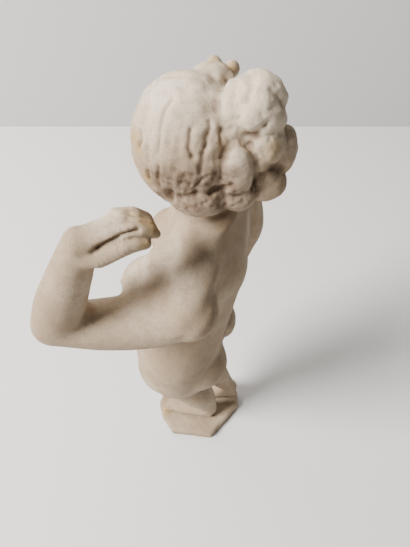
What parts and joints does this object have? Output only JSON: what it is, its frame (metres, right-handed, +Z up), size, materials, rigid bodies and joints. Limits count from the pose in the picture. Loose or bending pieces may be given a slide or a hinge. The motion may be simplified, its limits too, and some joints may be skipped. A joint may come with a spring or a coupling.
{
  "type": "standing female nude statuette",
  "caption": "Small cast plaster figure of a standing female nude on a thin irregular base, hair coiled behind the head, left arm bent with the hand raised towards the shoulder.",
  "frame": {"origin": "middle of the base's underside, where the statue stands", "axes": "+Z up, -Y the way the figure's hips face, +X the figure's left side"},
  "size_m": [0.0981, 0.1064, 0.3405],
  "materials": {
    "plaster": "matte, aged, with ochre stains and dirt in the hollows"
  },
  "bodies": {
    "root": {"statue": "plaster"}
  },
  "joints": []
}
